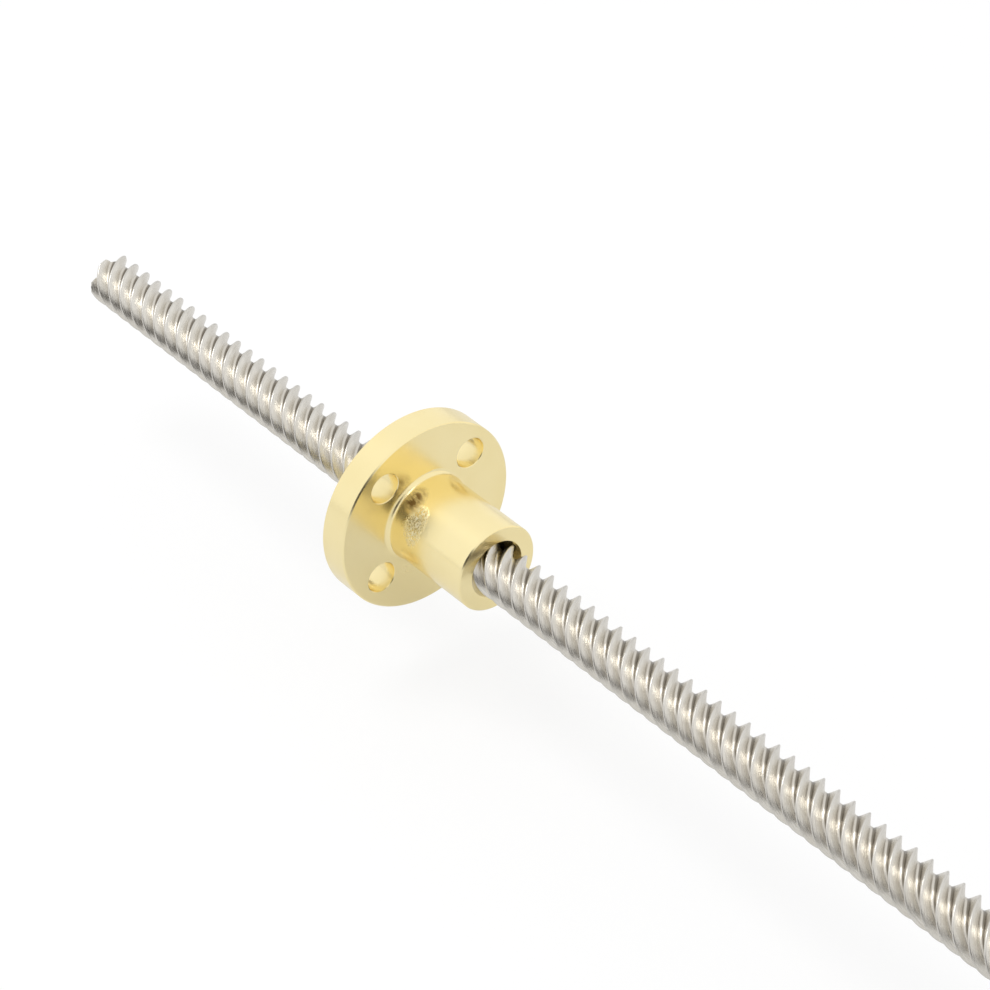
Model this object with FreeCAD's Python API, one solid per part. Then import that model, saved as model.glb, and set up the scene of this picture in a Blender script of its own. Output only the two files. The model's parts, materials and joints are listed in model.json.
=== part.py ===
import FreeCAD, Part
import math
import os

# Stepper motor with an integral lead screw and a flanged brass nut.
# Millimetres. The mounting face of the motor is x = 0, the screw runs along +X, +Z is up.

V = FreeCAD.Vector
X_AXIS = V(1, 0, 0)

# ---- lead screw ----
STARTS = 5
AXIAL_PITCH = 2.152
LEAD = STARTS * AXIAL_PITCH
CREST_R = 2.95
THREAD_DEPTH = 1.0
CREST_WIDTH = 0.22
FLANK_SLOPE = math.tan(math.radians(34.0))
THREAD_PHASE = 1.8
SHAFT_R = 2.5
SHAFT_REAR_X = -47.0
THREAD_START_X = 6.0
SCREW_END_X = 200.0
END_CHAMFER = 0.3

# ---- nut ----
NUT_CLEARANCE = 0.15
NUT_BARREL_X = 131.05
NUT_BARREL_LENGTH = 11.75
NUT_BARREL_R = 5.0
NUT_FLANGE_T = 3.5
NUT_FLANGE_R = 11.0
NUT_PCD = 16.0
NUT_HOLE_R = 1.75
NUT_HOLE_ANGLE = 48.3
NUT_MOUTH_R = 3.3
NUT_ROOT_FILLET = 0.6
NUT_EDGE = 0.15
NUT_HOLE_EDGE = 0.06

# ---- motor body ----
BODY = 42.3
BODY_LENGTH = 48.0
BELL_CORNER = 3.6
STACK_CORNER = 5.0
STACK_FRONT_X = -10.0
STACK_REAR_X = -37.0
PILOT_R = 11.0
PILOT_LENGTH = 2.0
SHAFT_BORE_R = 3.5
BOLT_PITCH = 31.0
TAP_R = 1.25
TAP_DEPTH = 4.5
SCREW_R = 1.5
SCREW_HOLE_R = 1.7
SCREW_HEAD_R = 2.75
SCREW_HEAD_T = 1.9
HEAD_POCKET_R = 3.1
HEAD_POCKET_T = 2.1
CAVITY_R = 17.5
FRONT_CAVITY_X = -5.0
REAR_CAVITY_X = -44.0
HUB_R = 10.0

# ---- stator and windings ----
POLES = 8
TEETH_PER_POLE = 6
TOOTH_PITCH = 7.2
BORE_R = 11.1
TOOTH_DEPTH = 0.6
SHOE_R = 12.5
NECK_R = 13.4
NECK_HALF = 2.0
LINER = 0.4
COLLAR_T = 0.8
LINER_REACH = 12.0
COIL_IN_R = 13.9
COIL_OUT_R = 16.3
GUARD_IN_R = 17.05
COIL_HALF = 4.6
END_TURN = 2.1
POST_R = 1.0
POST_AT_R = 15.2
TERMINAL_R = 0.35

# ---- rotor ----
ROTOR_TEETH = 50
ROTOR_R = 11.0
ROTOR_TOOTH_DEPTH = 0.7
ROTOR_FRONT_X = -10.5
ROTOR_REAR_X = -36.5
CUP_LENGTH = 12.25
MAGNET_R = 9.4
MAGNET_T = 3.0
SPACER_R = 3.9

# ---- bearings ----
BEARING_W = 5.0
BEARING_R = 8.0
BEARING_LAND_R = 6.3
BEARING_INNER_R = 4.2
BALL_R = 1.5
BALLS = 7
BALL_PITCH_R = 5.25
RACE_R = 1.53
SHIELD_R = 6.9
SHIELD_T = 0.25
FRONT_BEARING_X = -7.0
REAR_BEARING_X = -45.0
WASHER_GAP = 0.6

# ---- connector and board ----
BOARD_X = -43.2
BOARD_T = 1.0
BOARD_OUT_R = 16.9
BOARD_IN_R = 10.8
PLUG_HALF_Z = 7.0
PLUG_X0 = -42.2
PLUG_X1 = -37.2
PLUG_OUT_Y = -24.6
PLUG_BACK_Y = -18.0
PLUG_WALL = 0.7
PINS = 6
PIN_PITCH = 2.0
PIN_HALF = 0.25


def cyl(r, x0, x1, y=0.0, z=0.0):
    return Part.makeCylinder(r, x1 - x0, V(x0, y, z), X_AXIS)


def ring(r_out, r_in, x0, x1):
    return cyl(r_out, x0, x1).cut(cyl(r_in, x0 - 1, x1 + 1))


def box(x0, x1, y0, y1, z0, z1):
    return Part.makeBox(x1 - x0, y1 - y0, z1 - z0, V(x0, y0, z0))


def revolve(points):
    # points are (x, r) pairs; the outline is turned about the screw axis
    outline = [V(x, r, 0) for x, r in points]
    outline.append(outline[0])
    face = Part.Face(Part.makePolygon(outline))
    return face.revolve(V(0, 0, 0), X_AXIS, 360)


def polar(r, degrees, x=0.0):
    a = math.radians(degrees)
    return V(x, r * math.cos(a), r * math.sin(a))


def turned(shape, degrees):
    copy = shape.copy()
    copy.rotate(V(0, 0, 0), X_AXIS, degrees)
    return copy


def cut_all(shape, tools):
    return shape.cut(tools)


def chamfer_where(shape, size, keep):
    edges = [e for e in shape.Edges if keep(e)]
    return shape.makeChamfer(size, edges)


def bolt_points():
    h = BOLT_PITCH / 2
    return [(h, h), (-h, h), (-h, -h), (h, -h)]


def square_prism(side, corner, x0, x1):
    h = side / 2
    c = h - corner
    pts = [(h, c), (c, h), (-c, h), (-h, c), (-h, -c), (-c, -h), (c, -h), (h, -c)]
    outline = [V(x0, y, z) for y, z in pts]
    outline.append(outline[0])
    face = Part.Face(Part.makePolygon(outline))
    return face.extrude(V(x1 - x0, 0, 0))


# ---- helical thread ----
def thread_section(x, crest_r, root_r, crest_half, root_half):
    # transverse section of the thread at station x; half widths are axial
    phase = 360.0 * x / LEAD + THREAD_PHASE
    crest = 360.0 * crest_half / LEAD
    root = 360.0 * root_half / LEAD
    step = 360.0 / STARTS
    edges = []
    for k in range(STARTS):
        mid = phase + k * step
        low = mid + root
        high = mid + step - root
        p0 = polar(crest_r, mid - crest, x)
        p1 = polar(crest_r, mid, x)
        p2 = polar(crest_r, mid + crest, x)
        p3 = polar(root_r, low, x)
        p4 = polar(root_r, (low + high) / 2, x)
        p5 = polar(root_r, high, x)
        p6 = polar(crest_r, mid + step - crest, x)
        edges.append(Part.Arc(p0, p1, p2).toShape())
        edges.append(Part.makeLine(p2, p3))
        edges.append(Part.Arc(p3, p4, p5).toShape())
        edges.append(Part.makeLine(p5, p6))
    return Part.Wire(edges)


def thread_solid(x0, turns, crest_r, root_r, crest_half, root_half):
    # one turn is swept, then repeated along the axis and closed at both ends
    section = thread_section(x0, crest_r, root_r, crest_half, root_half)
    spine = Part.Wire(Part.makeLine(V(x0, 0, 0), V(x0 + LEAD, 0, 0)))
    helix = Part.makeHelix(LEAD, LEAD, 10)
    helix.rotate(V(0, 0, 0), V(0, 1, 0), 90)
    helix.translate(V(x0, 0, 0))
    sweep = Part.BRepOffsetAPI.MakePipeShell(spine)
    sweep.setAuxiliarySpine(Part.Wire(helix.Edges), True, 0)
    sweep.add(section, False, False)
    sweep.build()
    turn = sweep.shape()
    faces = [Part.Face(section)]
    for k in range(turns):
        copy = turn.copy()
        copy.translate(V(k * LEAD, 0, 0))
        faces.extend(copy.Faces)
    cap = section.copy()
    cap.translate(V(turns * LEAD, 0, 0))
    faces.append(Part.Face(cap))
    shell = Part.makeCompound(faces)
    shell.sewShape(0.001)
    solid = Part.Solid(shell.Shells[0])
    solid.fix(0.001, 0.001, 0.001)
    if solid.Volume < 0:
        solid.reverse()
    return solid


def lead_screw():
    root_r = CREST_R - THREAD_DEPTH
    crest_half = CREST_WIDTH / 2
    root_half = crest_half + THREAD_DEPTH * FLANK_SLOPE
    x0 = THREAD_START_X - 1.0
    turns = math.ceil((SCREW_END_X + 1.0 - x0) / LEAD)
    thread = thread_solid(x0, turns, CREST_R, root_r, crest_half, root_half)
    big = CREST_R + 1.0
    rise = CREST_R - SHAFT_R
    envelope = revolve([
        (THREAD_START_X, 0),
        (THREAD_START_X, SHAFT_R),
        (THREAD_START_X + 2 * rise, CREST_R),
        (THREAD_START_X + 2 * rise + 2 * (big - CREST_R), big),
        (SCREW_END_X - END_CHAMFER - (big - CREST_R), big),
        (SCREW_END_X, CREST_R - END_CHAMFER),
        (SCREW_END_X, 0),
    ])
    thread = thread.common(envelope)
    # plain shaft, with the tapered run-out that closes the thread grooves
    shaft = revolve([
        (SHAFT_REAR_X, 0),
        (SHAFT_REAR_X, SHAFT_R - 0.5),
        (SHAFT_REAR_X + 0.5, SHAFT_R),
        (THREAD_START_X, SHAFT_R),
        (THREAD_START_X + 2.0, root_r - 0.1),
        (THREAD_START_X + 2.0, 0),
    ])
    return thread.fuse(shaft)


def brass_nut():
    x0 = NUT_BARREL_X
    x1 = x0 + NUT_BARREL_LENGTH
    x2 = x1 + NUT_FLANGE_T
    blank = revolve([
        (x0, 0),
        (x0, NUT_BARREL_R - NUT_EDGE),
        (x0 + NUT_EDGE, NUT_BARREL_R),
        (x1, NUT_BARREL_R),
        (x1, NUT_FLANGE_R - NUT_EDGE),
        (x1 + NUT_EDGE, NUT_FLANGE_R),
        (x2 - NUT_EDGE, NUT_FLANGE_R),
        (x2, NUT_FLANGE_R - NUT_EDGE),
        (x2, 0),
    ])
    corner = []
    for e in blank.Edges:
        if e.Length > 6 * NUT_BARREL_R and abs(e.BoundBox.XMin - x1) < 0.01:
            if abs(e.BoundBox.XMax - x1) < 0.01 and e.BoundBox.YMax < NUT_BARREL_R + 0.1:
                corner.append(e)
    blank = blank.makeFillet(NUT_ROOT_FILLET, corner)
    tools = []
    for k in range(4):
        p = polar(NUT_PCD / 2, NUT_HOLE_ANGLE + 90 * k)
        tools.append(cyl(NUT_HOLE_R, x1 - 1, x2 + 1, p.y, p.z))
        wide = NUT_HOLE_R + NUT_HOLE_EDGE
        near = Part.makeCone(wide, NUT_HOLE_R, NUT_HOLE_EDGE, V(x1, p.y, p.z), X_AXIS)
        far_x = x2 - NUT_HOLE_EDGE
        far = Part.makeCone(NUT_HOLE_R, wide, NUT_HOLE_EDGE, V(far_x, p.y, p.z), X_AXIS)
        tools.append(near)
        tools.append(far)
    blank = cut_all(blank, tools)
    # internal thread: the screw's section grown by the running clearance on every side
    slant = NUT_CLEARANCE / math.cos(math.atan(FLANK_SLOPE))
    crest_r = CREST_R + NUT_CLEARANCE
    root_r = CREST_R - THREAD_DEPTH + NUT_CLEARANCE
    half_at_crest = CREST_WIDTH / 2 + slant
    crest_half = half_at_crest - NUT_CLEARANCE * FLANK_SLOPE
    root_half = crest_half + THREAD_DEPTH * FLANK_SLOPE
    length = x2 - x0
    turns = math.ceil((length + 2.0) / LEAD)
    start = (x0 + x2) / 2 - turns * LEAD / 2
    thread = thread_solid(start, turns, crest_r, root_r, crest_half, root_half)
    blank = blank.cut(thread)
    depth = NUT_MOUTH_R - root_r + 0.05
    mouth_near = Part.makeCone(NUT_MOUTH_R, NUT_MOUTH_R - depth, depth, V(x0, 0, 0), X_AXIS)
    mouth_far = Part.makeCone(NUT_MOUTH_R - depth, NUT_MOUTH_R, depth, V(x2 - depth, 0, 0), X_AXIS)
    return blank.cut(mouth_near).cut(mouth_far)


# ---- end bells ----
def front_end_bell():
    bell = square_prism(BODY, BELL_CORNER, STACK_FRONT_X, 0)
    bell = chamfer_where(bell, 0.6, lambda e: abs(e.BoundBox.XMin) < 1e-6)
    pilot = revolve([
        (-0.5, 0),
        (-0.5, PILOT_R),
        (PILOT_LENGTH - 0.4, PILOT_R),
        (PILOT_LENGTH, PILOT_R - 0.4),
        (PILOT_LENGTH, 0),
    ])
    bell = bell.fuse(pilot).removeSplitter()
    cavity = cyl(CAVITY_R, STACK_FRONT_X - 1, FRONT_CAVITY_X)
    cavity = cavity.cut(cyl(HUB_R, FRONT_BEARING_X, 0))
    seat_end = FRONT_BEARING_X + BEARING_W
    tools = [
        cavity,
        cyl(BEARING_R, STACK_FRONT_X - 1, seat_end),
        cyl(BEARING_LAND_R, seat_end - 1, seat_end + 0.5),
        cyl(SHAFT_BORE_R, STACK_FRONT_X, PILOT_LENGTH + 1),
        Part.makeCone(SHAFT_BORE_R, SHAFT_BORE_R + 0.5, 0.5, V(PILOT_LENGTH - 0.5, 0, 0), X_AXIS),
    ]
    for y, z in bolt_points():
        tools.append(cyl(TAP_R, -TAP_DEPTH - 1, 1, y, z))
        tools.append(cyl(SCREW_R, STACK_FRONT_X - 1, -TAP_DEPTH, y, z))
        tools.append(Part.makeCone(TAP_R, TAP_R + 0.4, 0.4, V(-0.4, y, z), X_AXIS))
    return cut_all(bell, tools)


def rear_end_bell():
    rear = -BODY_LENGTH
    bell = square_prism(BODY, BELL_CORNER, rear, STACK_REAR_X)
    bell = chamfer_where(bell, 0.6, lambda e: abs(e.BoundBox.XMax - rear) < 1e-6)
    cavity = cyl(CAVITY_R, REAR_CAVITY_X, STACK_REAR_X + 1)
    cavity = cavity.cut(cyl(HUB_R, rear, REAR_BEARING_X + BEARING_W))
    notch_h = PLUG_HALF_Z + 0.3
    tools = [
        cavity,
        cyl(BEARING_R, REAR_BEARING_X - WASHER_GAP, STACK_REAR_X),
        cyl(SHAFT_BORE_R, rear - 1, STACK_REAR_X),
        Part.makeCone(SHAFT_BORE_R + 0.5, SHAFT_BORE_R, 0.5, V(rear, 0, 0), X_AXIS),
        box(REAR_CAVITY_X, STACK_REAR_X + 1, -BODY, -CAVITY_R + 5, -notch_h, notch_h),
    ]
    for y, z in bolt_points():
        tools.append(cyl(SCREW_HOLE_R, rear - 1, STACK_REAR_X + 1, y, z))
        tools.append(cyl(HEAD_POCKET_R, rear - 1, rear + HEAD_POCKET_T, y, z))
    return cut_all(bell, tools)


# ---- stator ----
def stator_outline():
    # inner outline of one lamination: eight toothed poles and the slots between them
    half_teeth = (TEETH_PER_POLE - 1) * TOOTH_PITCH / 2 + TOOTH_PITCH / 4
    neck_out = math.sqrt(CAVITY_R ** 2 - NECK_HALF ** 2)
    neck_angle = math.degrees(math.asin(NECK_HALF / CAVITY_R))
    edges = []
    for k in range(POLES):
        a = 360.0 / POLES * k
        pts = [polar(math.hypot(neck_out, NECK_HALF), a - neck_angle)]
        inner_angle = math.degrees(math.atan2(NECK_HALF, NECK_R))
        inner_r = math.hypot(NECK_R, NECK_HALF)
        pts.append(polar(inner_r, a - inner_angle))
        pts.append(polar(SHOE_R, a - half_teeth))
        for i in range(TEETH_PER_POLE):
            s = a - half_teeth + i * TOOTH_PITCH
            pts.append(polar(BORE_R, s))
            pts.append(polar(BORE_R, s + TOOTH_PITCH / 2))
            if i < TEETH_PER_POLE - 1:
                pts.append(polar(BORE_R + TOOTH_DEPTH, s + TOOTH_PITCH / 2))
                pts.append(polar(BORE_R + TOOTH_DEPTH, s + TOOTH_PITCH))
        pts.append(polar(SHOE_R, a + half_teeth))
        pts.append(polar(inner_r, a + inner_angle))
        pts.append(polar(CAVITY_R, a + neck_angle))
        for p, q in zip(pts, pts[1:]):
            edges.append(Part.makeLine(p, q))
        nxt = a + 360.0 / POLES - neck_angle
        mid = a + 180.0 / POLES
        edges.append(Part.Arc(pts[-1], polar(CAVITY_R, mid), polar(CAVITY_R, nxt)).toShape())
    return Part.Wire(edges)


def stator_laminations():
    length = STACK_FRONT_X - STACK_REAR_X
    core = Part.Face(stator_outline()).extrude(V(length, 0, 0))
    core.translate(V(STACK_REAR_X, 0, 0))
    stack = square_prism(BODY, STACK_CORNER, STACK_REAR_X, STACK_FRONT_X)
    tools = [core]
    for y, z in bolt_points():
        tools.append(cyl(SCREW_HOLE_R, STACK_REAR_X - 1, STACK_FRONT_X + 1, y, z))
    return cut_all(stack, tools)


def winding_insulator(face_x, out, posts):
    # out is +1 for the front insulator and -1 for the rear one
    def span(a, b, y0, y1, z0, z1):
        xa = face_x + out * a
        xb = face_x + out * b
        return box(min(xa, xb), max(xa, xb), y0, y1, z0, z1)

    def disc(r_out, r_in, a, b):
        xa = face_x + out * a
        xb = face_x + out * b
        return ring(r_out, r_in, min(xa, xb), max(xa, xb))

    body = disc(CAVITY_R - 0.02, GUARD_IN_R, 0, END_TURN + 0.2)
    half = NECK_HALF + LINER
    pieces = []
    for k in range(POLES):
        bar = span(0, COLLAR_T, NECK_R, CAVITY_R - 0.3, -half, half)
        lip = span(0, END_TURN + 0.2, NECK_R - 0.3, NECK_R + 0.4, -3.4, 3.4)
        liner_a = span(-LINER_REACH, 0, NECK_R + 0.3, CAVITY_R - 0.3, NECK_HALF, half)
        liner_b = span(-LINER_REACH, 0, NECK_R + 0.3, CAVITY_R - 0.3, -half, -NECK_HALF)
        for piece in (bar, lip, liner_a, liner_b):
            pieces.append(turned(piece, 360.0 / POLES * k))
    body = body.fuse(pieces)
    if posts:
        extra = []
        holes = []
        for k in range(4):
            p = polar(POST_AT_R, 22.5 + 90 * k)
            foot = face_x - COLLAR_T
            extra.append(cyl(POST_R, BOARD_X + BOARD_T, face_x, p.y, p.z))
            arm = box(foot, face_x, POST_AT_R, CAVITY_R - 0.2, -POST_R, POST_R)
            extra.append(turned(arm, 22.5 + 90 * k))
            holes.append(cyl(TERMINAL_R, BOARD_X, BOARD_X + BOARD_T + 1.5, p.y, p.z))
        body = body.fuse(extra).cut(holes)
    return body.removeSplitter()


def coil(degrees):
    x0 = STACK_REAR_X - COLLAR_T
    x1 = STACK_FRONT_X + COLLAR_T
    half = NECK_HALF + LINER
    inner = box(x0, x1, COIL_IN_R - 1, COIL_OUT_R + 1, -half, half)
    outer = box(x0 - END_TURN + COLLAR_T, x1 + END_TURN - COLLAR_T, COIL_IN_R, COIL_OUT_R,
                -COIL_HALF, COIL_HALF)
    ends = [e for e in outer.Edges if e.BoundBox.YLength > 1]
    outer = outer.makeFillet(1.2, ends)
    return turned(outer.cut(inner), degrees)


def coils(first):
    step = 360.0 / POLES
    return Part.makeCompound([coil(step * (first + 2 * k)) for k in range(POLES // 2)])


def winding_terminals():
    pins = []
    for k in range(4):
        p = polar(POST_AT_R, 22.5 + 90 * k)
        pins.append(cyl(TERMINAL_R, BOARD_X - 0.4, BOARD_X + BOARD_T + 1.5, p.y, p.z))
    return Part.makeCompound(pins)


# ---- rotor ----
def rotor_cup(x0, x1, recess_at_start, phase):
    pts = []
    step = 360.0 / ROTOR_TEETH
    for k in range(ROTOR_TEETH):
        a = phase + k * step
        pts.append(polar(ROTOR_R, a - step / 4, x0))
        pts.append(polar(ROTOR_R, a + step / 4, x0))
        pts.append(polar(ROTOR_R - ROTOR_TOOTH_DEPTH, a + step / 4, x0))
        pts.append(polar(ROTOR_R - ROTOR_TOOTH_DEPTH, a + 3 * step / 4, x0))
    pts.append(pts[0])
    cup = Part.Face(Part.makePolygon(pts)).extrude(V(x1 - x0, 0, 0))
    deep = (MAGNET_T - (ROTOR_FRONT_X - ROTOR_REAR_X - 2 * CUP_LENGTH)) / 2
    if recess_at_start:
        pocket = cyl(MAGNET_R, x0 - 1, x0 + deep)
    else:
        pocket = cyl(MAGNET_R, x1 - deep, x1 + 1)
    return cup.cut(cyl(SHAFT_R, x0 - 1, x1 + 1)).cut(pocket)


def rotor_magnet():
    mid = (ROTOR_FRONT_X + ROTOR_REAR_X) / 2
    return ring(MAGNET_R, SHAFT_R, mid - MAGNET_T / 2, mid + MAGNET_T / 2)


# ---- ball bearings ----
def race(x_mid):
    return Part.makeTorus(BALL_PITCH_R, RACE_R, V(x_mid, 0, 0), X_AXIS)


def bearing_outer_ring(x0):
    x1 = x0 + BEARING_W
    body = ring(BEARING_R, BEARING_LAND_R, x0, x1)
    body = chamfer_where(body, 0.3, lambda e: e.BoundBox.YMax > BEARING_R - 0.01 and e.Length > 40)
    step = SHIELD_T + 0.05
    tools = [race(x0 + BEARING_W / 2), cyl(SHIELD_R, x0 - 1, x0 + step), cyl(SHIELD_R, x1 - step, x1 + 1)]
    return cut_all(body, tools)


def bearing_inner_ring(x0):
    body = ring(BEARING_INNER_R, SHAFT_R, x0, x0 + BEARING_W)
    return body.cut(race(x0 + BEARING_W / 2))


def ball(x_mid, k):
    p = polar(BALL_PITCH_R, 360.0 / BALLS * k)
    return Part.makeSphere(BALL_R, V(x_mid, p.y, p.z))


def bearing_balls(x0):
    mid = x0 + BEARING_W / 2
    return Part.makeCompound([ball(mid, k) for k in range(BALLS)])


def bearing_cage(x0):
    mid = x0 + BEARING_W / 2
    body = ring(BALL_PITCH_R + 0.6, BALL_PITCH_R - 0.6, mid - 0.6, mid + 1.9)
    tools = []
    for k in range(BALLS):
        p = polar(BALL_PITCH_R, 360.0 / BALLS * k)
        tools.append(Part.makeSphere(BALL_R + 0.05, V(mid, p.y, p.z)))
        slot = box(mid - 2, mid, BALL_PITCH_R - 2, BALL_PITCH_R + 2, -1.35, 1.35)
        tools.append(turned(slot, 360.0 / BALLS * k))
    return cut_all(body, tools)


def bearing_shields(x0):
    x1 = x0 + BEARING_W
    near = ring(SHIELD_R, BEARING_INNER_R + 0.15, x0 + 0.05, x0 + 0.05 + SHIELD_T)
    far = ring(SHIELD_R, BEARING_INNER_R + 0.15, x1 - 0.05 - SHIELD_T, x1 - 0.05)
    return Part.makeCompound([near, far])


def wave_washer():
    # flat spring steel ring bent into three waves round its circle
    thick = 0.2
    lift = (WASHER_GAP - thick) / 2 - 0.01
    mid = REAR_BEARING_X - WASHER_GAP / 2
    count = 48
    pts = []
    for k in range(count):
        a = 360.0 * k / count
        p = polar(7.0, a, mid + lift * math.cos(math.radians(3 * a)))
        pts.append(p)
    curve = Part.BSplineCurve()
    curve.interpolate(pts, PeriodicFlag=True)
    spine = Part.Wire(curve.toShape())
    x = pts[0].x
    corners = [V(x - thick / 2, 6.4, 0), V(x - thick / 2, 7.6, 0), V(x + thick / 2, 7.6, 0),
               V(x + thick / 2, 6.4, 0), V(x - thick / 2, 6.4, 0)]
    sweep = Part.BRepOffsetAPI.MakePipeShell(spine)
    sweep.setBiNormalMode(X_AXIS)
    sweep.add(Part.makePolygon(corners), False, False)
    sweep.build()
    sweep.makeSolid()
    return sweep.shape()


# ---- hardware and connector ----
def assembly_screw(y, z):
    rear = -BODY_LENGTH
    seat = rear + HEAD_POCKET_T
    tip = -TAP_DEPTH - 0.3
    head = cyl(SCREW_HEAD_R, seat - SCREW_HEAD_T, seat, y, z)
    head = head.makeFillet(0.6, [e for e in head.Edges if abs(e.BoundBox.XMax - seat + SCREW_HEAD_T) < 1e-6])
    shank = cyl(SCREW_R, seat, tip, y, z)
    shank = shank.makeChamfer(0.4, [e for e in shank.Edges if abs(e.BoundBox.XMin - tip) < 1e-6])
    screw = head.fuse(shank)
    face = seat - SCREW_HEAD_T
    flat = box(face - 1, face + 1.1, y - 1.5, y + 1.5, z - 0.3, z + 0.3)
    upright = box(face - 1, face + 1.1, y - 0.3, y + 0.3, z - 1.5, z + 1.5)
    return screw.cut([flat, upright]).removeSplitter()


def assembly_screws():
    return Part.makeCompound([assembly_screw(y, z) for y, z in bolt_points()])


def terminal_board():
    x0 = BOARD_X
    x1 = BOARD_X + BOARD_T
    board = cyl(BOARD_OUT_R, x0, x1)
    tab = box(x0, x1, PLUG_BACK_Y - 2.9, -10.0, -PLUG_HALF_Z, PLUG_HALF_Z)
    board = board.fuse(tab).removeSplitter()
    tools = [cyl(BOARD_IN_R, x0 - 1, x1 + 1)]
    for k in range(4):
        p = polar(POST_AT_R, 22.5 + 90 * k)
        tools.append(cyl(TERMINAL_R + 0.1, x0 - 1, x1 + 1, p.y, p.z))
    return cut_all(board, tools)


def pin_stations():
    return [(k - (PINS - 1) / 2) * PIN_PITCH for k in range(PINS)]


def pin_line_x():
    return (PLUG_X0 + PLUG_X1) / 2 - 0.25


def connector_housing():
    body = box(PLUG_X0, PLUG_X1, PLUG_OUT_Y, PLUG_BACK_Y, -PLUG_HALF_Z, PLUG_HALF_Z)
    body = body.makeChamfer(0.3, [e for e in body.Edges if e.BoundBox.YLength > 1])
    w = PLUG_WALL
    tools = [box(PLUG_X0 + w, PLUG_X1 - w, PLUG_OUT_Y - 1, PLUG_BACK_Y - 1.3,
                 -PLUG_HALF_Z + w, PLUG_HALF_Z - w)]
    # two keying slots in the upper wall of the socket
    for z in (-4.2, 4.2):
        tools.append(box(PLUG_X1 - w - 0.1, PLUG_X1 + 1, PLUG_OUT_Y - 1, PLUG_OUT_Y + 3.5, z - 0.6, z + 0.6))
    xm = pin_line_x()
    for z in pin_stations():
        tools.append(box(xm - PIN_HALF, xm + PIN_HALF, PLUG_BACK_Y - 2, PLUG_BACK_Y + 1,
                         z - PIN_HALF, z + PIN_HALF))
    return cut_all(body, tools)


def connector_pin(z):
    xm = pin_line_x()
    drop_y = PLUG_BACK_Y + 0.4
    board_x = BOARD_X + BOARD_T
    tip = PLUG_OUT_Y + 1.0
    blade = box(xm - PIN_HALF, xm + PIN_HALF, tip, drop_y + PIN_HALF, z - PIN_HALF, z + PIN_HALF)
    leg = box(board_x, xm + PIN_HALF, drop_y - PIN_HALF, drop_y + PIN_HALF, z - PIN_HALF, z + PIN_HALF)
    foot = box(board_x, board_x + 0.4, drop_y - PIN_HALF, drop_y + 2.2, z - PIN_HALF, z + PIN_HALF)
    pin = blade.fuse([leg, foot]).removeSplitter()
    return pin.makeChamfer(0.12, [e for e in pin.Edges if e.BoundBox.YMax < tip + 0.01])


def connector_pins():
    return Part.makeCompound([connector_pin(z) for z in pin_stations()])


parts = {
    "lead_screw": lead_screw(),
    "brass_nut": brass_nut(),
    "front_end_bell": front_end_bell(),
    "rear_end_bell": rear_end_bell(),
    "stator_laminations": stator_laminations(),
    "front_winding_insulator": winding_insulator(STACK_FRONT_X, 1, False),
    "rear_winding_insulator": winding_insulator(STACK_REAR_X, -1, True),
    "phase_a_coils": coils(0),
    "phase_b_coils": coils(1),
    "winding_terminals": winding_terminals(),
    "rotor_cup_front": rotor_cup(ROTOR_FRONT_X - CUP_LENGTH, ROTOR_FRONT_X, True, TOOTH_PITCH / 2),
    "rotor_cup_rear": rotor_cup(ROTOR_REAR_X, ROTOR_REAR_X + CUP_LENGTH, False, 0.0),
    "rotor_magnet": rotor_magnet(),
    "front_spacer": ring(SPACER_R, SHAFT_R, ROTOR_FRONT_X, FRONT_BEARING_X),
    "rear_spacer": ring(SPACER_R, SHAFT_R, REAR_BEARING_X + BEARING_W, ROTOR_REAR_X),
    "wave_washer": wave_washer(),
    "assembly_screws": assembly_screws(),
    "terminal_board": terminal_board(),
    "connector_housing": connector_housing(),
    "connector_pins": connector_pins(),
}
for end, x0 in (("front", FRONT_BEARING_X), ("rear", REAR_BEARING_X)):
    parts[end + "_bearing_outer_ring"] = bearing_outer_ring(x0)
    parts[end + "_bearing_inner_ring"] = bearing_inner_ring(x0)
    parts[end + "_bearing_balls"] = bearing_balls(x0)
    parts[end + "_bearing_cage"] = bearing_cage(x0)
    parts[end + "_bearing_shields"] = bearing_shields(x0)

os.makedirs("parts", exist_ok=True)
for name, shape in parts.items():
    shape.exportStep("parts/" + name + ".step")
    print(name, len(shape.Solids), shape.isValid(), round(shape.Volume, 2))
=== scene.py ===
import json
import math

import bpy
from mathutils import Matrix, Vector


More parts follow.
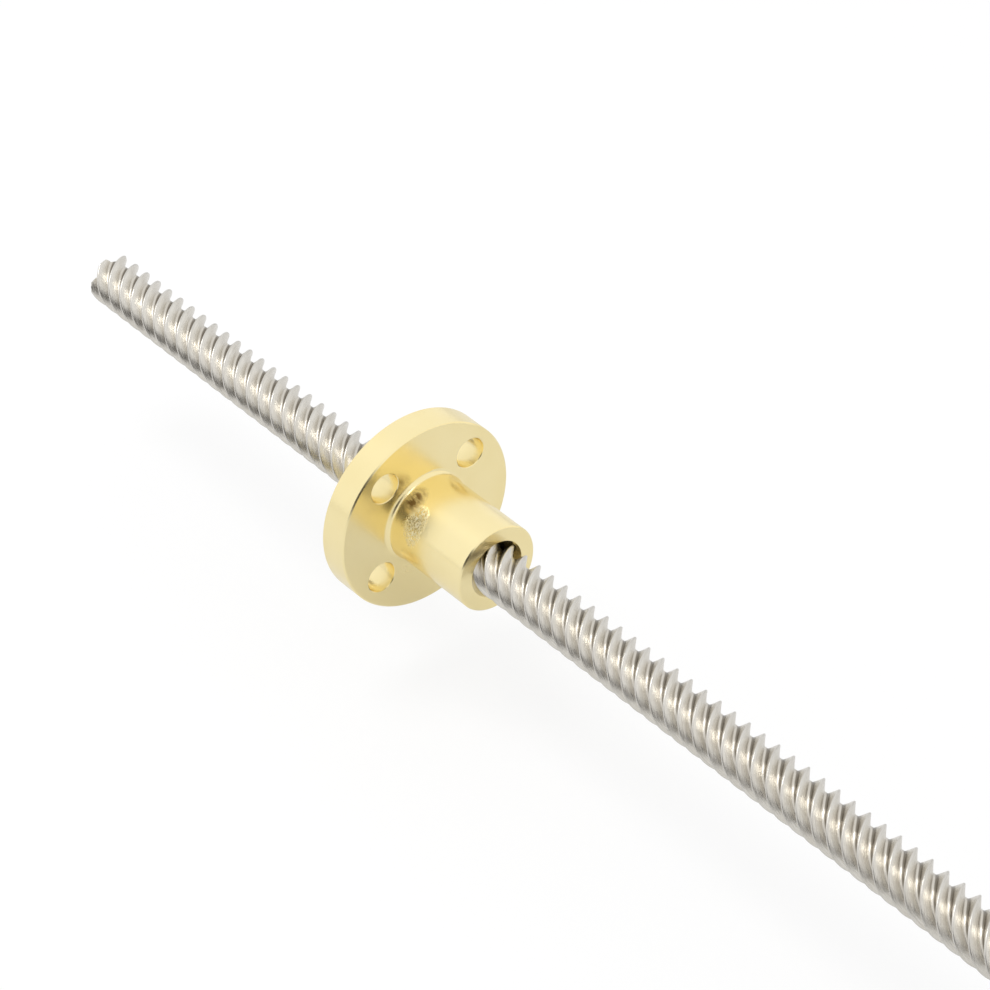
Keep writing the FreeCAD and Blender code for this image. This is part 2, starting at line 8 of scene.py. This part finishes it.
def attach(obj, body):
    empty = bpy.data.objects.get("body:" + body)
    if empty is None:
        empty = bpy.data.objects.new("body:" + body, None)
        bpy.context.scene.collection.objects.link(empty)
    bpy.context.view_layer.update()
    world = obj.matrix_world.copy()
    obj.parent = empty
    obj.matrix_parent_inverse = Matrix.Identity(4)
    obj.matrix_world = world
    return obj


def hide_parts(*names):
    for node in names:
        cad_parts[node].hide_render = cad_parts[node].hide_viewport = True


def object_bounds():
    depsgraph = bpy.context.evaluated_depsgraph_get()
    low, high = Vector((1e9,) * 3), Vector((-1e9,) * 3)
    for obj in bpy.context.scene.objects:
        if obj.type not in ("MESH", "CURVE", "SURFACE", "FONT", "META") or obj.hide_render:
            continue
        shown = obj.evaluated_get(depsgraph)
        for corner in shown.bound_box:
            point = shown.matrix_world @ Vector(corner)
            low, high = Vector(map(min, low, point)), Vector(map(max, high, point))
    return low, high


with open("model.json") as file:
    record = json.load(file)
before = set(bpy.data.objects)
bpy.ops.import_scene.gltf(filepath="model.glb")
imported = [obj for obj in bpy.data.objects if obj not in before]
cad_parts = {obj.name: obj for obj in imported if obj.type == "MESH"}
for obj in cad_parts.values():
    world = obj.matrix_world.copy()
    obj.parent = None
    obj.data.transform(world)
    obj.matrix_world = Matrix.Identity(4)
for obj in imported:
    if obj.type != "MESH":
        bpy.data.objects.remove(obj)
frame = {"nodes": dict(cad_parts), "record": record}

MM = 0.001
CAD_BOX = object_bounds()
NODES = frame["nodes"]

# ---- lead screw, in millimetres, with the same thread form as the CAD's ----
STARTS = 5
PITCH = 2.152               # from one start to the next, along the axis
LEAD = STARTS * PITCH
CREST_R = 2.95
DEPTH = 1.0
CREST_WIDTH = 0.22
FLANK = math.tan(math.radians(34.0))
PHASE = math.radians(1.8)
SHAFT_R = 2.5
SHAFT_REAR = -47.0
REAR_CHAMFER = 0.5
THREAD_START = 6.0
RUN_OUT = 2.0               # the thread grows out of the shaft over this length
RUN_OUT_RISE = 0.5
RUN_OUT_FALL = 0.325
SCREW_END = 200.0
END_CHAMFER = 0.3
SLICE = 0.25                # spacing of the mesh's stations on the thread
SHAFT_SLICE = 1.0
UV_PER_MM = 0.05
UV_START_SHIFT = 0.37       # keeps the starts' streaks apart

# ---- marks on the nut's barrel, a scuffed patch and a painted dark reflection: centres and half sizes, in millimetres ----
SCUFF_AT = (139.4, 4.1, 2.7)
SCUFF_SIZE = (1.5, 2.0, 2.9)
DARK_REFLECTION_AT = (141.3, 2.7, 4.2)
DARK_REFLECTION_SIZE = (1.5, 2.0, 1.7)

# ---- surface detail, in metres ----
NUT_FEED = 0.00022          # spacing of the tool marks on the nut
TURNING_FEED = 0.00018
SHEET = 0.0005              # one lamination
WIRE = 0.00035

# ---- studio, in metres ----
FLOOR_SIZE = 6.0
FLOOR_GAP = 0.00002         # under the lowest point of the part
FLOOR_GLOW = 1.06
FLOOR_GLOW_SHARE = 0.72
WORLD = 1.0
# the unlit opening of the tent: where it lies, seen from the part, its edge and its tone
DARK_TOWARDS = (-0.66, 0.67, 0.33)
DARK_EDGE_COSINES = (0.90, 0.975)
DARK_TONE = (0.04, 0.035, 0.03)
KEY_POWER = 1.3
KEY_AT = (0.24, 0.20, 0.62)
KEY_AIM = (0.14, 0.0, 0.0)
KEY_SIZE = 0.26
CAMERA_AT = (-0.1460, 0.2261, 0.2794)
CAMERA_RIGHT = (-0.6317, -0.7752, 0.0)
CAMERA_FORWARD = (0.6186, -0.5043, -0.6023)
CAMERA_LENS = 160.0
SENSOR_WIDTH = 36.0

# sockets of the Mix node when it mixes colours
MIX_FACTOR, MIX_A, MIX_B, MIX_OUT = 0, 6, 7, 2


# ---------------------------------------------------------------- node helpers
class Mat:
    """A procedural material built from small node calls."""

    def __init__(self, name):
        self.mat = bpy.data.materials.new(name)
        self.mat.use_nodes = True
        self.tree = self.mat.node_tree
        self.bsdf = self.tree.nodes["Principled BSDF"]
        self.coord = self.tree.nodes.new("ShaderNodeTexCoord")

    def node(self, kind, **values):
        n = self.tree.nodes.new(kind)
        for key, value in values.items():
            setattr(n, key, value)
        return n

    def link(self, a, b):
        self.tree.links.new(a, b)

    def put(self, socket, value):
        if isinstance(value, bpy.types.NodeSocket):
            self.link(value, socket)
        else:
            socket.default_value = value

    def set(self, name, value):
        self.put(self.bsdf.inputs[name], value)

    def math(self, op, a, b=0.0, c=0.0):
        n = self.node("ShaderNodeMath", operation=op)
        for socket, value in zip(n.inputs, (a, b, c)):
            self.put(socket, value)
        return n.outputs[0]

    def xyz(self):
        n = self.node("ShaderNodeSeparateXYZ")
        self.link(self.coord.outputs["Object"], n.inputs[0])
        return n.outputs

    def radius(self):
        """Distance from the screw's axis."""
        _, y, z = self.xyz()
        squares = self.math("ADD", self.math("MULTIPLY", y, y), self.math("MULTIPLY", z, z))
        return self.math("SQRT", squares)

    def mapped(self, source="Object", scale=(1, 1, 1)):
        n = self.node("ShaderNodeMapping")
        self.link(self.coord.outputs[source], n.inputs["Vector"])
        n.inputs["Scale"].default_value = scale
        return n.outputs[0]

    def noise(self, vector, scale, detail=4.0, rough=0.55, distort=0.0):
        n = self.node("ShaderNodeTexNoise")
        self.link(vector, n.inputs["Vector"])
        n.inputs["Scale"].default_value = scale
        n.inputs["Detail"].default_value = detail
        n.inputs["Roughness"].default_value = rough
        n.inputs["Distortion"].default_value = distort
        return n.outputs["Fac"]

    def remap(self, value, lo, hi, out_lo=0.0, out_hi=1.0):
        n = self.node("ShaderNodeMapRange")
        self.put(n.inputs["Value"], value)
        ranges = (("From Min", lo), ("From Max", hi), ("To Min", out_lo), ("To Max", out_hi))
        for key, limit in ranges:
            n.inputs[key].default_value = limit
        return n.outputs["Result"]

    def spread(self, noise, out_lo=0.0, out_hi=1.0):
        """The middle of a noise, where nearly all of it lies, stretched over a range."""
        return self.remap(noise, 0.3, 0.7, out_lo, out_hi)

    def mix(self, fac, a, b, blend="MIX"):
        n = self.node("ShaderNodeMix", data_type="RGBA", blend_type=blend)
        self.put(n.inputs[MIX_FACTOR], fac)
        for socket, value in ((n.inputs[MIX_A], a), (n.inputs[MIX_B], b)):
            if isinstance(value, tuple):
                value = (*value, 1.0)
            self.put(socket, value)
        return n.outputs[MIX_OUT]

    def ramp(self, value, stops):
        n = self.node("ShaderNodeValToRGB")
        self.link(value, n.inputs["Fac"])
        elements = n.color_ramp.elements
        while len(elements) < len(stops):
            elements.new(0.5)
        for element, (place, colour) in zip(elements, stops):
            element.position = place
            element.color = (*colour, 1.0)
        return n.outputs["Color"]

    def bump(self, height, strength, distance, normal=None):
        n = self.node("ShaderNodeBump")
        n.inputs["Strength"].default_value = strength
        n.inputs["Distance"].default_value = distance
        self.link(height, n.inputs["Height"])
        if normal is not None:
            self.link(normal, n.inputs["Normal"])
        return n.outputs["Normal"]

    def rings(self, value, period):
        """Smooth waves from 0 to 1, of the given period in metres."""
        angle = self.math("MULTIPLY", value, 2 * math.pi / period)
        return self.math("MULTIPLY_ADD", self.math("SINE", angle), 0.5, 0.5)

    def spot(self, place, size):
        """1 at a place on the part, falling to 0 at the given half sizes, in millimetres."""
        n = self.node("ShaderNodeMapping", vector_type="TEXTURE")
        self.link(self.coord.outputs["Object"], n.inputs["Vector"])
        n.inputs["Location"].default_value = [v * MM for v in place]
        n.inputs["Scale"].default_value = [v * MM for v in size]
        length = self.node("ShaderNodeVectorMath", operation="LENGTH")
        self.link(n.outputs[0], length.inputs[0])
        return self.remap(length.outputs["Value"], 1.0, 0.35)


def paint(obj, material):
    obj.data.materials.clear()
    obj.data.materials.append(material)


def mesh_object(name, verts, faces, uvs, smooth_angle):
    mesh = bpy.data.meshes.new(name)
    mesh.from_pydata(verts, [], faces)
    layer = mesh.uv_layers.new(name="UVMap")
    for loop in mesh.loops:
        layer.data[loop.index].uv = uvs[loop.vertex_index]
    mesh.update()
    mesh.shade_smooth()
    mesh.set_sharp_from_angle(angle=math.radians(smooth_angle))
    obj = bpy.data.objects.new(name, mesh)
    bpy.context.collection.objects.link(obj)
    return obj


# ---------------------------------------------------------------- materials
def screw_groove_dirt_and_shade(m, fine):
    """Painted shade with some oil and dust: a dark band along one corner of each groove's floor,
    on the thread only.
    """
    uv = m.node("ShaderNodeSeparateXYZ")
    m.link(m.coord.outputs["UV"], uv.inputs[0])
    across = m.math("FRACT", m.math("MULTIPLY", uv.outputs[1], float(STARTS)))
    foot = (CREST_WIDTH / 2 + DEPTH * FLANK) / PITCH
    offset = m.math("ABSOLUTE", m.math("SUBTRACT", across, foot + 0.045))
    near = m.remap(offset, 0.13, 0.06)
    threaded = m.math("GREATER_THAN", m.xyz()[0], (THREAD_START + 1.5) * MM)
    patchy = m.math("MULTIPLY", near, m.remap(fine, 0.3, 0.6, 0.75, 1.0))
    return m.math("MULTIPLY", patchy, threaded)


def screw_steel():
    m = Mat("rolled_steel")
    # long streaks that follow the thread, from the rolling dies
    streaks = m.noise(m.mapped("UV", (9.0, 260.0, 1.0)), 1.0, 5.0, 0.6, 0.3)
    fine = m.noise(m.mapped("UV", (60.0, 900.0, 1.0)), 1.0, 3.0, 0.6)
    blotch = m.noise(m.mapped(), 420.0, 3.0)
    height = m.remap(m.radius(), (CREST_R - DEPTH) * MM, CREST_R * MM)
    # base colour by radius: darker towards the groove floor as painted shade, and a little
    # darker again at the crest
    base = m.ramp(height, [(0.0, (0.70, 0.665, 0.60)), (0.3, (0.77, 0.74, 0.68)),
                           (0.85, (0.79, 0.765, 0.71)), (1.0, (0.70, 0.68, 0.64))])
    # painted shade, with some oil and dust, along one corner of each groove floor
    base = m.mix(screw_groove_dirt_and_shade(m, fine), base, (0.19, 0.165, 0.13))
    streaked = m.remap(streaks, 0.35, 0.7, 0.0, 0.40)
    base = m.mix(streaked, base, (0.56, 0.53, 0.48), "MULTIPLY")
    blotched = m.remap(blotch, 0.45, 0.7, 0.0, 0.30)
    base = m.mix(blotched, base, (0.86, 0.83, 0.78), "MULTIPLY")
    m.set("Base Color", base)
    m.set("Metallic", 1.0)
    m.set("Roughness", m.math("ADD", m.spread(streaks, 0.20, 0.34), m.spread(fine, -0.03, 0.05)))
    m.set("Normal", m.bump(fine, 0.2, 0.00002, m.bump(streaks, 0.30, 0.00005)))
    return m.mat


def turned_metal(name, light, dark, rough_lo, rough_hi):
    """Turned or ground bar stock: fine rings round the axis and slight clouding."""
    m = Mat(name)
    cloudy = m.noise(m.mapped(), 120.0)
    lines = m.math("ADD", m.rings(m.xyz()[0], TURNING_FEED), m.rings(m.radius(), TURNING_FEED))
    wander = m.noise(m.mapped(), 900.0, 2.0)
    m.set("Base Color", m.mix(m.spread(cloudy), light, dark))
    m.set("Metallic", 1.0)
    m.set("Roughness", m.spread(cloudy, rough_lo, rough_hi))
    m.set("Normal", m.bump(wander, 0.10, 0.00002, m.bump(lines, 0.12, 0.00001)))
    return m.mat


def nut_brass():
    m = Mat("turned_brass")
    cloudy = m.noise(m.mapped(), 150.0)
    lines = m.math("ADD", m.rings(m.xyz()[0], NUT_FEED), m.rings(m.radius(), NUT_FEED))
    fine = m.noise(m.mapped(), 2600.0, 3.0, 0.6)
    base = m.mix(m.spread(cloudy), (0.965, 0.835, 0.475), (0.93, 0.79, 0.42))
    # marks on the barrel, close to the flange: a painted dark reflection in the corner, also a
    # little duller, and a scratched patch painted paler as its glints
    dull = m.noise(m.mapped(scale=(0.4, 1.0, 1.0)), 2400.0, 3.0, 0.6)
    dark_reflection_and_dull = m.math("MULTIPLY", m.spot(DARK_REFLECTION_AT, DARK_REFLECTION_SIZE), m.remap(dull, 0.25, 0.55))
    # painted dark reflection in the corner by the flange, dark brown
    base = m.mix(m.math("MULTIPLY", dark_reflection_and_dull, 0.93), base, (0.13, 0.07, 0.02))
    scratch = m.noise(m.mapped(scale=(1.6, 1.0, 1.0)), 4200.0, 3.0, 0.6, 0.5)
    scratches_and_glints = m.math("MULTIPLY", m.spot(SCUFF_AT, SCUFF_SIZE), m.remap(scratch, 0.48, 0.60))
    # real scratches, painted paler as their glints
    base = m.mix(scratches_and_glints, base, (1.0, 0.94, 0.74))
    m.set("Base Color", base)
    m.set("Metallic", 1.0)
    worn = m.math("ADD", m.math("MULTIPLY", dark_reflection_and_dull, 0.12), m.math("MULTIPLY", scratches_and_glints, 0.25))
    m.set("Roughness", m.math("ADD", m.spread(cloudy, 0.20, 0.28), worn))
    turned = m.bump(fine, 0.10, 0.00001, m.bump(lines, 0.08, 0.00001))
    m.set("Normal", m.bump(scratches_and_glints, 1.0, 0.00009, turned))
    return m.mat


def cast_aluminium():
    m = Mat("cast_aluminium")
    grain = m.noise(m.mapped(), 1300.0, 4.0, 0.65)
    cloudy = m.noise(m.mapped(), 90.0, 3.0)
    m.set("Base Color", m.mix(m.spread(cloudy), (0.70, 0.70, 0.71), (0.60, 0.60, 0.615)))
    m.set("Metallic", 1.0)
    m.set("Roughness", m.spread(grain, 0.36, 0.5))
    m.set("Normal", m.bump(grain, 0.25, 0.00005))
    return m.mat


def laminations():
    m = Mat("lamination_stack")
    sheets = m.math("MULTIPLY", m.xyz()[0], 1.0 / SHEET)
    edge = m.remap(m.math("PINGPONG", sheets, 0.5), 0.0, 0.12)
    # each sheet catches the light a little differently
    tone = m.node("ShaderNodeTexNoise", noise_dimensions="1D")
    m.put(tone.inputs["W"], m.math("FLOOR", sheets))
    tone.inputs["Scale"].default_value = 3.7
    wear = m.noise(m.mapped(), 260.0)
    base = m.mix(m.spread(tone.outputs["Fac"]), (0.020, 0.020, 0.022), (0.045, 0.045, 0.048))
    base = m.mix(m.remap(wear, 0.62, 0.75, 0.0, 0.5), base, (0.10, 0.098, 0.095))
    m.set("Base Color", base)
    m.set("Metallic", 0.65)
    m.set("Roughness", m.spread(wear, 0.34, 0.5))
    m.set("Normal", m.bump(edge, 0.55, 0.00006))
    return m.mat


def plain(name, light, dark, rough, scale=500.0, strength=0.12, metal=0.0):
    """Moulded, coated or plated surface with a fine grain."""
    m = Mat(name)
    grain = m.noise(m.mapped(), scale)
    cloudy = m.noise(m.mapped(), scale / 8, 2.0)
    m.set("Base Color", m.mix(m.spread(cloudy), light, dark))
    m.set("Metallic", metal)
    m.set("Roughness", m.spread(grain, rough - 0.06, rough + 0.06))
    m.set("Normal", m.bump(grain, strength, 0.00003))
    return m.mat


def winding():
    m = Mat("enamelled_winding")
    tone = m.noise(m.mapped(), 300.0, 3.0)
    m.set("Base Color", m.mix(m.spread(tone), (0.62, 0.24, 0.08), (0.45, 0.15, 0.05)))
    m.set("Metallic", 0.7)
    m.set("Roughness", m.spread(tone, 0.25, 0.4))
    m.set("Normal", m.bump(m.rings(m.radius(), WIRE), 0.6, 0.0001))
    return m.mat


# one material for each material slot: a light and a dark tone, then the roughness
MATERIALS = {
    "screw_steel": screw_steel(),
    "nut_brass": nut_brass(),
    "bell_aluminium": cast_aluminium(),
    "stack_steel": laminations(),
    "insulator_plastic": plain(
        "moulded_insulator", (0.80, 0.79, 0.74), (0.72, 0.71, 0.66), 0.5),
    "winding_copper": winding(),
    "terminal_brass": turned_metal(
        "terminal_metal", (0.80, 0.74, 0.58), (0.70, 0.63, 0.46), 0.25, 0.35),
    "rotor_steel": turned_metal(
        "rotor_steel", (0.48, 0.48, 0.49), (0.38, 0.38, 0.39), 0.25, 0.4),
    "magnet_nickel": turned_metal(
        "magnet_plating", (0.66, 0.65, 0.62), (0.58, 0.57, 0.54), 0.2, 0.3),
    "spacer_steel": turned_metal(
        "spacer_steel", (0.62, 0.62, 0.62), (0.52, 0.52, 0.52), 0.25, 0.35),
    "spring_steel": turned_metal(
        "spring_steel", (0.42, 0.41, 0.40), (0.30, 0.30, 0.32), 0.25, 0.35),
    "bearing_steel": turned_metal(
        "bearing_steel", (0.72, 0.72, 0.73), (0.62, 0.62, 0.63), 0.12, 0.22),
    "cage_plastic": plain(
        "cage_plastic", (0.16, 0.15, 0.13), (0.12, 0.11, 0.10), 0.45),
    "shield_steel": turned_metal(
        "shield_steel", (0.62, 0.62, 0.62), (0.54, 0.54, 0.55), 0.2, 0.3),
    "fastener_steel": plain(
        "black_oxide", (0.035, 0.035, 0.038), (0.02, 0.02, 0.022), 0.38,
        scale=900.0, strength=0.2, metal=0.8),
    "board_green": plain(
        "coated_board", (0.02, 0.13, 0.05), (0.015, 0.10, 0.04), 0.35),
    "housing_plastic": plain(
        "moulded_housing", (0.82, 0.81, 0.76), (0.76, 0.75, 0.70), 0.42,
        scale=700.0, strength=0.08),
    "pin_tin": turned_metal(
        "tinned_pin", (0.78, 0.77, 0.74), (0.70, 0.69, 0.66), 0.18, 0.28),
}
SLOT_OF = {entry["node"]: entry["material_slot"] for entry in frame["record"]["subparts"]}
for node_name, node_object in NODES.items():
    paint(node_object, MATERIALS[SLOT_OF[node_name]])


# ---------------------------------------------------------------- lead screw
def thread_profile():
    """(fraction of a pitch, depth below the crest) round one thread, from crest to crest."""
    half = CREST_WIDTH / 2
    run = DEPTH * FLANK
    foot = half + run
    crest = [(0.0, 0.0), (0.06, 0.004), (half - 0.005, 0.03), (half + 0.06, 0.105)]
    flank = [(half + part * run, part * DEPTH) for part in (0.30, 0.55, 0.80)]
    root = [(foot - 0.06, DEPTH - 0.085), (foot + 0.02, DEPTH - 0.02), (foot + 0.11, DEPTH)]
    there = [(distance / PITCH, depth) for distance, depth in crest + flank + root]
    back = [(1.0 - fraction, depth) for fraction, depth in reversed(there[1:])]
    return there + [(0.5, DEPTH)] + back


def screw_envelope(x):
    """Highest and lowest radius the thread may have at station x."""
    high = CREST_R
    low = CREST_R - DEPTH
    if x < THREAD_START + RUN_OUT:
        along = max(0.0, x - THREAD_START)
        high = min(high, SHAFT_R + RUN_OUT_RISE * along)
        low = max(low, SHAFT_R - RUN_OUT_FALL * along)
    if x > SCREW_END - END_CHAMFER:
        high = min(high, CREST_R - (x - (SCREW_END - END_CHAMFER)))
    return high, low


def shaft_rings():
    """(station, radius) along the plain shaft, from its chamfered rear end to the thread."""
    rings = [(SHAFT_REAR + d, SHAFT_R - REAR_CHAMFER + d) for d in (0.0, 0.12, REAR_CHAMFER)]
    x = SHAFT_REAR + REAR_CHAMFER + 0.1
    while x < THREAD_START - 0.3:
        rings.append((x, SHAFT_R))
        x += SHAFT_SLICE
    return rings + [(THREAD_START - 0.05, SHAFT_R)]


def thread_stations():
    chamfer_start = SCREW_END - END_CHAMFER
    count = math.ceil((chamfer_start - THREAD_START) / SLICE)
    stations = [THREAD_START + i * SLICE for i in range(count)]
    return stations + [chamfer_start, SCREW_END - END_CHAMFER / 2, SCREW_END]


def lead_screw():
    """The threaded shaft as slices along the axis, each turned to the thread's helix."""
    profile = thread_profile()
    per_slice = STARTS * len(profile)
    verts = []
    uvs = []

    def slice_at(x, low, high):
        for start in range(STARTS):
            for fraction, depth in profile:
                turn = x / LEAD - (start + fraction) / STARTS
                angle = 2 * math.pi * turn + PHASE
                r = max(low, min(high, CREST_R - depth))
                verts.append((x * MM, r * math.cos(angle) * MM, r * math.sin(angle) * MM))
                uvs.append((x * UV_PER_MM + start * UV_START_SHIFT, (start + fraction) / STARTS))

    shaft = shaft_rings()
    stations = thread_stations()
    for x, r in shaft:
        slice_at(x, r, r)
    for x in stations:
        high, low = screw_envelope(x)
        slice_at(x, low, high)
    last = len(shaft) + len(stations) - 1

    faces = []
    for i in range(last):
        for j in range(per_slice):
            a = i * per_slice + j
            b = i * per_slice + (j + 1) % per_slice
            faces.append((a, a + per_slice, b + per_slice, b))
    # the two ends are closed with a ring of faces round a centre point
    for ring, x in ((0, SHAFT_REAR), (last, SCREW_END)):
        centre = len(verts)
        verts.append((x * MM, 0.0, 0.0))
        uvs.append((x * UV_PER_MM, 0.5))
        for j in range(per_slice):
            a = ring * per_slice + j
            b = ring * per_slice + (j + 1) % per_slice
            faces.append((centre, a, b) if ring == 0 else (centre, b, a))

    obj = mesh_object("screw_thread", verts, faces, uvs, smooth_angle=32.0)
    paint(obj, MATERIALS["screw_steel"])
    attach(obj, "rotor")
    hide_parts("lead_screw")


# ---------------------------------------------------------------- stage
def stage():
    floor_z = CAD_BOX[0][2] - FLOOR_GAP
    bpy.ops.mesh.primitive_plane_add(size=FLOOR_SIZE, location=(0.1, 0.0, floor_z))
    floor = bpy.context.object
    floor.name = "studio_floor"
    m = Mat("studio_floor")
    speck = m.noise(m.mapped(), 8.0, 2.0)
    m.set("Base Color", m.mix(m.spread(speck), (0.735, 0.735, 0.735), (0.725, 0.725, 0.725)))
    m.set("Roughness", 0.9)
    m.set("Specular IOR Level", 0.1)
    # for camera rays the floor is partly a painted glow, so its shadows look faint from the
    # camera; other rays see the plain lit floor
    glow = m.node("ShaderNodeEmission")
    glow.inputs["Color"].default_value = (1.0, 1.0, 1.0, 1.0)
    glow.inputs["Strength"].default_value = FLOOR_GLOW
    path = m.node("ShaderNodeLightPath")
    blend = m.node("ShaderNodeMixShader")
    share = m.math("MULTIPLY", path.outputs["Is Camera Ray"], FLOOR_GLOW_SHARE)
    for socket, source in zip(blend.inputs, (share, m.bsdf.outputs[0], glow.outputs[0])):
        m.link(source, socket)
    m.link(blend.outputs[0], m.tree.nodes["Material Output"].inputs["Surface"])
    paint(floor, m.mat)


def tent():
    """An evenly lit white tent with one unlit opening, beside the camera."""
    world = bpy.data.worlds.new("studio")
    bpy.context.scene.world = world
    world.use_nodes = True
    tree = world.node_tree
    back = tree.nodes["Background"]
    coord = tree.nodes.new("ShaderNodeTexCoord")
    side = tree.nodes.new("ShaderNodeVectorMath")
    side.operation = "DOT_PRODUCT"
    side.inputs[1].default_value = Vector(DARK_TOWARDS).normalized()
    tree.links.new(coord.outputs["Generated"], side.inputs[0])
    toward = tree.nodes.new("ShaderNodeMapRange")
    toward.interpolation_type = "SMOOTHSTEP"
    toward.inputs["From Min"].default_value = DARK_EDGE_COSINES[0]
    toward.inputs["From Max"].default_value = DARK_EDGE_COSINES[1]
    tree.links.new(side.outputs["Value"], toward.inputs["Value"])
    tone = tree.nodes.new("ShaderNodeMix")
    tone.data_type = "RGBA"
    tone.inputs[MIX_A].default_value = (1.0, 1.0, 1.0, 1.0)
    tone.inputs[MIX_B].default_value = (*DARK_TONE, 1.0)
    tree.links.new(toward.outputs["Result"], tone.inputs[MIX_FACTOR])
    tree.links.new(tone.outputs[MIX_OUT], back.inputs["Color"])
    back.inputs["Strength"].default_value = WORLD


def key_light():
    data = bpy.data.lights.new("key", "AREA")
    data.energy = KEY_POWER
    data.size = KEY_SIZE
    obj = bpy.data.objects.new("key", data)
    bpy.context.collection.objects.link(obj)
    obj.location = KEY_AT
    aim = Vector(KEY_AIM) - Vector(KEY_AT)
    obj.rotation_euler = aim.to_track_quat("-Z", "Y").to_euler()


def camera():
    right = Vector(CAMERA_RIGHT).normalized()
    forward = Vector(CAMERA_FORWARD).normalized()
    up = right.cross(forward).normalized()
    right = forward.cross(up).normalized()
    data = bpy.data.cameras.new("camera")
    data.lens = CAMERA_LENS
    data.sensor_width = SENSOR_WIDTH
    data.clip_start = 0.01
    data.clip_end = 20.0
    obj = bpy.data.objects.new("camera", data)
    bpy.context.collection.objects.link(obj)
    axes = Matrix((right, up, -forward)).transposed()
    obj.matrix_world = Matrix.Translation(CAMERA_AT) @ axes.to_4x4()
    bpy.context.scene.camera = obj


lead_screw()
stage()
tent()
key_light()
camera()
bpy.context.scene.view_settings.view_transform = "Standard"
